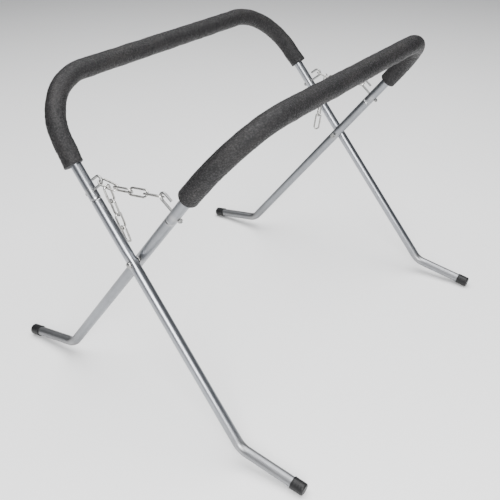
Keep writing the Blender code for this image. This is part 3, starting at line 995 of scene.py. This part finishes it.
class SAWHORSE_OT_pivots(bpy.types.Operator):
    """Pivot bolts with domed heads, spacer washers and nuts"""

    bl_idname = "sawhorse.pivots"
    bl_label = "Pivot bolts"

    def execute(self, context):
        for side_name, side in SIDES:
            self.build_bolt(side_name, side)
            self.build_washer(side_name, side)
            add_nut(f"pivot_nut_{side_name}", 13 * MM, 6.5 * MM, 4.3 * MM, (side, 0, 0))
        return {"FINISHED"}

    def build_bolt(self, side_name, side):
        sizes = bpy.context.scene.sawhorse_sizes
        node = "pivot_bolt_" + side_name
        low, high = (np.array(corner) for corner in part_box(node))
        width = (high - low)[0]
        head = (high - low)[1] / 2
        seat = sizes.half_width + sizes.tube / 2 + SPLAY_GAP
        rise = np.abs([low[0], high[0]]).max() - seat
        arc = np.linspace(0, math.pi / 2, 14)
        shank = sizes.bolt / 2
        length_all = width - rise
        marks = np.linspace(-0.4 * MM, -length_all + 0.8 * MM, 150)
        cut = smooth(length_all - 16 * MM, length_all - 14 * MM, -marks)
        thread = shank + (threaded(shank, 0.4 * MM, 1.25 * MM, marks, BOLT_SIDES) - shank) * cut[:, None]
        radius = np.concatenate([
            np.repeat((head * np.sin(arc) ** 0.9)[:, None], BOLT_SIDES, 1),
            np.full((2, BOLT_SIDES), head) * np.array([[0.97], [0.6]]),
            thread,
            np.full((1, BOLT_SIDES), shank - 0.9 * MM),
            np.zeros((1, BOLT_SIDES)),
        ])
        height = np.concatenate([rise * np.cos(arc), [0, 0], marks, [-length_all, -length_all]])
        centre = np.array([side * seat, 0, PIVOT_HEIGHT])
        grid = turned_grid(centre, (side, 0, 0), radius, height[:, None] + 0 * radius, BOLT_SIDES)
        wear = edge_wear(grid, centre, (side, 0, 0), head)
        piece = add_surface(node + "_steel", grid, finish("bolt_zinc"), False, {"wear": wear})
        stand_for(piece, node)

    def build_washer(self, side_name, side):
        node = "pivot_washer_" + side_name
        low, high = (np.array(corner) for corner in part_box(node))
        centre = (low + high) / 2
        rim = (high - low)[1] / 2
        half = (high - low)[0] / 2
        bore = 4.3 * MM
        ease = np.linspace(0, math.pi, 7)
        soft = 0.3 * MM
        radius = np.concatenate([
            rim - soft + soft * np.sin(ease), bore + soft - soft * np.sin(ease),
        ])
        height = np.concatenate([half * np.cos(ease), -half * np.cos(ease)])
        grid = turned_grid(centre, (side, 0, 0), radius, height, 64)
        wear = edge_wear(grid, centre, (side, 0, 0), rim)
        piece = add_surface(node + "_steel", grid, finish("bolt_zinc"), True, {"wear": wear})
        stand_for(piece, node)


class SAWHORSE_OT_hooks(bpy.types.Operator):
    """Hook bolts with open loops, rolled threads and nuts"""

    bl_idname = "sawhorse.hooks"
    bl_label = "Hook bolts"

    def execute(self, context):
        for name in FRAMES:
            cross = CrossFrame(name)
            for side_name, side in SIDES:
                self.build(cross, side_name, side)
        return {"FINISHED"}

    def build(self, cross, side_name, side):
        sizes = cross.sizes
        tail = sizes.tube / 2 + SPLAY_GAP + 7.5 * MM
        across = sizes.hook_rise + sizes.tube / 2
        along = cross.leg_way(side)
        outward = np.array([0, cross.facing, 0])
        base = cross.leg_point(side, sizes.hook_reach)
        loop = sizes.hook_loop
        corners = [
            base - outward * tail,
            base + outward * (across + loop),
            base + outward * (across + loop) + along * 2 * loop,
            base + outward * (across - sizes.hook_tip) + along * 2 * loop,
        ]
        path = Path(cross.world(corners), loop * 0.999)
        marks = np.unique(np.concatenate([
            np.arange(0.6 * MM, tail + 4 * MM, 0.16 * MM),
            path.steps(tail + 4 * MM, path.length - 0.6 * MM, 1.5 * MM, 0.8 * MM),
        ]))
        wire = sizes.hook_wire / 2
        cut = 1 - smooth(tail + 2 * MM, tail + 4 * MM, marks)
        thread = wire + (threaded(wire, 0.3 * MM, 1.0 * MM, marks, HOOK_SIDES) - wire) * cut[:, None]
        ends = np.zeros((1, HOOK_SIDES))
        bevel = np.full((1, HOOK_SIDES), wire - 0.6 * MM)
        radius = np.concatenate([ends, bevel, thread, bevel, ends])
        distance = np.concatenate([[0.0, 0.0], marks, [path.length, path.length]])
        grid = tube_grid(path, distance, radius, HOOK_SIDES)
        centre = cross.world(base + outward * across + along * loop)
        wear = near(grid, centre + (centre - cross.world(base)) * 0.12, 13 * MM) * 0.9
        name = f"{cross.name}_hook_{side_name}"
        piece = add_surface(name + "_steel", grid, finish("bolt_zinc"), False, {"wear": wear})
        stand_for(piece, name)
        axis = outward @ cross.turn.T
        add_nut(f"{cross.name}_hook_nut_{side_name}", 10 * MM, 5 * MM, 3.3 * MM, axis)


class SAWHORSE_OT_chains(bpy.types.Operator):
    """Welded chain links, rubbed bright where they bear on each other"""

    bl_idname = "sawhorse.chains"
    bl_label = "Chains"

    def execute(self, context):
        for side_name, _ in SIDES:
            for kind in ("chain", "tail"):
                for index in range(1, 5):
                    self.build(f"{kind}_{side_name}_link_{index}", index)
        return {"FINISHED"}

    def build(self, node, seed):
        centre, long_way, wide_way, reach, half = self.measure(node)
        wire = bpy.context.scene.sawhorse_sizes.link_wire / 2
        loop = half - wire
        straight = reach - wire - loop
        corners = [
            centre - wide_way * loop,
            centre - wide_way * loop + long_way * (straight + loop),
            centre + wide_way * loop + long_way * (straight + loop),
            centre + wide_way * loop - long_way * (straight + loop),
            centre - wide_way * loop - long_way * (straight + loop),
            centre - wide_way * loop,
        ]
        path = Path(corners, loop * 0.9995)
        marks = path.steps(0.0, path.length, 1.2 * MM, 1.0 * MM)[:-1]
        weld = np.minimum(marks, path.length - marks)
        bulge = 0.22 * MM * np.exp(-((weld / (1.5 * MM)) ** 2)) * (1 + 0.3 * np.sin(weld * 4000))
        points = path.at(marks)[0]
        lumps = waves(points, 9 * MM, seed + 31) * 0.05 * MM
        grid = tube_grid(path, marks, wire + bulge + lumps - 0.12 * MM, 24)
        end = np.abs((grid - centre) @ long_way)
        inner = (np.linalg.norm(grid - centre, axis=2)) < np.linalg.norm(points - centre, axis=1)[:, None]
        wear = smooth(reach - 9 * MM, reach - 4 * MM, end)
        # crease: 0.6 at the weld, plus 0.35 of painted shade on the inside of the link, away from the rubbed
        # ends.
        crease = (1 - smooth(0.0, 4 * MM, weld))[:, None] * 0.6 + 0.35 * inner * (1 - wear)
        piece = add_surface(node + "_wire", grid, finish("chain_zinc"), True,
                            {"wear": wear * 0.9, "crease": crease})
        stand_for(piece, node)

    def measure(self, node):
        """A link's middle, long way, wide way and half sizes, from its CAD solid's points."""
        mesh = frame["nodes"][node].data
        points = np.zeros(len(mesh.vertices) * 3)
        mesh.vertices.foreach_get("co", points)
        points = np.unique(points.reshape(-1, 3).round(6), axis=0)
        middle = points.mean(0)
        _, ways = np.linalg.eigh(np.cov((points - middle).T))
        long_way, wide_way = ways[:, 2], ways[:, 1]
        reach = np.abs((points - middle) @ long_way).max()
        half = np.abs((points - middle) @ wide_way).max()
        return middle, long_way, wide_way, reach, half


# Studio


class SAWHORSE_OT_stage(bpy.types.Operator):
    """Pale floor, soft lights and the camera"""

    bl_idname = "sawhorse.stage"
    bl_label = "Stage"

    def execute(self, context):
        self.add_floor()
        self.add_world()
        self.add_light("key", (1.91, 1.60, 1.48), 1.4, 95.0)
        self.add_light("top", (-0.2, -0.1, 4.2), 5.0, 420.0)
        self.add_camera()
        return {"FINISHED"}

    def add_floor(self):
        mesh = bpy.data.meshes.new("floor")
        half = FLOOR_HALF
        low = CAD_BOX[0][2] - 0.0005
        corners = [(-half, -half, low), (half, -half, low), (half, half, low), (-half, half, low)]
        mesh.from_pydata(corners, [], [(0, 1, 2, 3)])
        mesh.materials.append(finish("studio_floor"))
        floor = bpy.data.objects.new("floor", mesh)
        bpy.context.scene.collection.objects.link(floor)

    def add_world(self):
        world = bpy.data.worlds.new("studio")
        world.use_nodes = True
        background = world.node_tree.nodes["Background"]
        background.inputs["Color"].default_value = (0.80, 0.84, 0.90, 1.0)
        background.inputs["Strength"].default_value = 0.15
        bpy.context.scene.world = world

    def add_light(self, name, place, size, power):
        data = bpy.data.lights.new(name, "AREA")
        data.shape = "DISK"
        data.size = size
        data.energy = power
        light = bpy.data.objects.new(name, data)
        light.location = place
        aim = np.array([0, 0, 0.4]) - np.array(place)
        light.rotation_euler = self.facing(unit(aim))
        bpy.context.scene.collection.objects.link(light)

    def facing(self, way):
        tilt = math.acos(-way[2])
        spin = math.atan2(-way[0], way[1])
        return (tilt, 0.0, spin)

    def add_camera(self):
        data = bpy.data.cameras.new("camera")
        data.sensor_width = SENSOR_WIDTH
        data.lens = CAMERA_LENS
        camera = bpy.data.objects.new("camera", data)
        camera.location = (*CAMERA_PLACE, PIVOT_HEIGHT + CAMERA_RISE)
        camera.rotation_mode = "XYZ"
        camera.rotation_euler = (math.radians(90 - CAMERA_TILT), 0.0, math.radians(CAMERA_TURN))
        basis = camera.rotation_euler.to_matrix()
        camera.rotation_euler = (basis @ Matrix.Rotation(math.radians(-CAMERA_ROLL), 3, "Z")).to_euler()
        bpy.context.scene.collection.objects.link(camera)
        bpy.context.scene.camera = camera


# Add-on


class SAWHORSE_PT_panel(bpy.types.Panel):
    """Lists the pieces and their sizes"""

    bl_idname = "SAWHORSE_PT_panel"
    bl_label = "Sawhorse"
    bl_space_type = "VIEW_3D"
    bl_region_type = "UI"
    bl_category = "Sawhorse"

    def draw(self, context):
        for operator in OPERATORS:
            self.layout.operator(operator.bl_idname)
        for group in (context.scene.sawhorse_sizes, context.scene.sawhorse_colours):
            for key in group.__annotations__:
                self.layout.prop(group, key)


OPERATORS = (
    SAWHORSE_OT_hoops,
    SAWHORSE_OT_legs,
    SAWHORSE_OT_foam,
    SAWHORSE_OT_caps,
    SAWHORSE_OT_pivots,
    SAWHORSE_OT_hooks,
    SAWHORSE_OT_chains,
    SAWHORSE_OT_stage,
)
CLASSES = (SawhorseSizes, SawhorseColours, *OPERATORS, SAWHORSE_PT_panel)


def register():
    for item in CLASSES:
        bpy.utils.register_class(item)
    bpy.types.Scene.sawhorse_sizes = PointerProperty(type=SawhorseSizes)
    bpy.types.Scene.sawhorse_colours = PointerProperty(type=SawhorseColours)


def unregister():
    del bpy.types.Scene.sawhorse_colours
    del bpy.types.Scene.sawhorse_sizes
    for item in reversed(CLASSES):
        bpy.utils.unregister_class(item)


def main():
    register()
    bpy.ops.sawhorse.hoops()
    bpy.ops.sawhorse.legs()
    bpy.ops.sawhorse.foam()
    bpy.ops.sawhorse.caps()
    bpy.ops.sawhorse.pivots()
    bpy.ops.sawhorse.hooks()
    bpy.ops.sawhorse.chains()
    bpy.ops.sawhorse.stage()


if __name__ == "__main__":
    main()
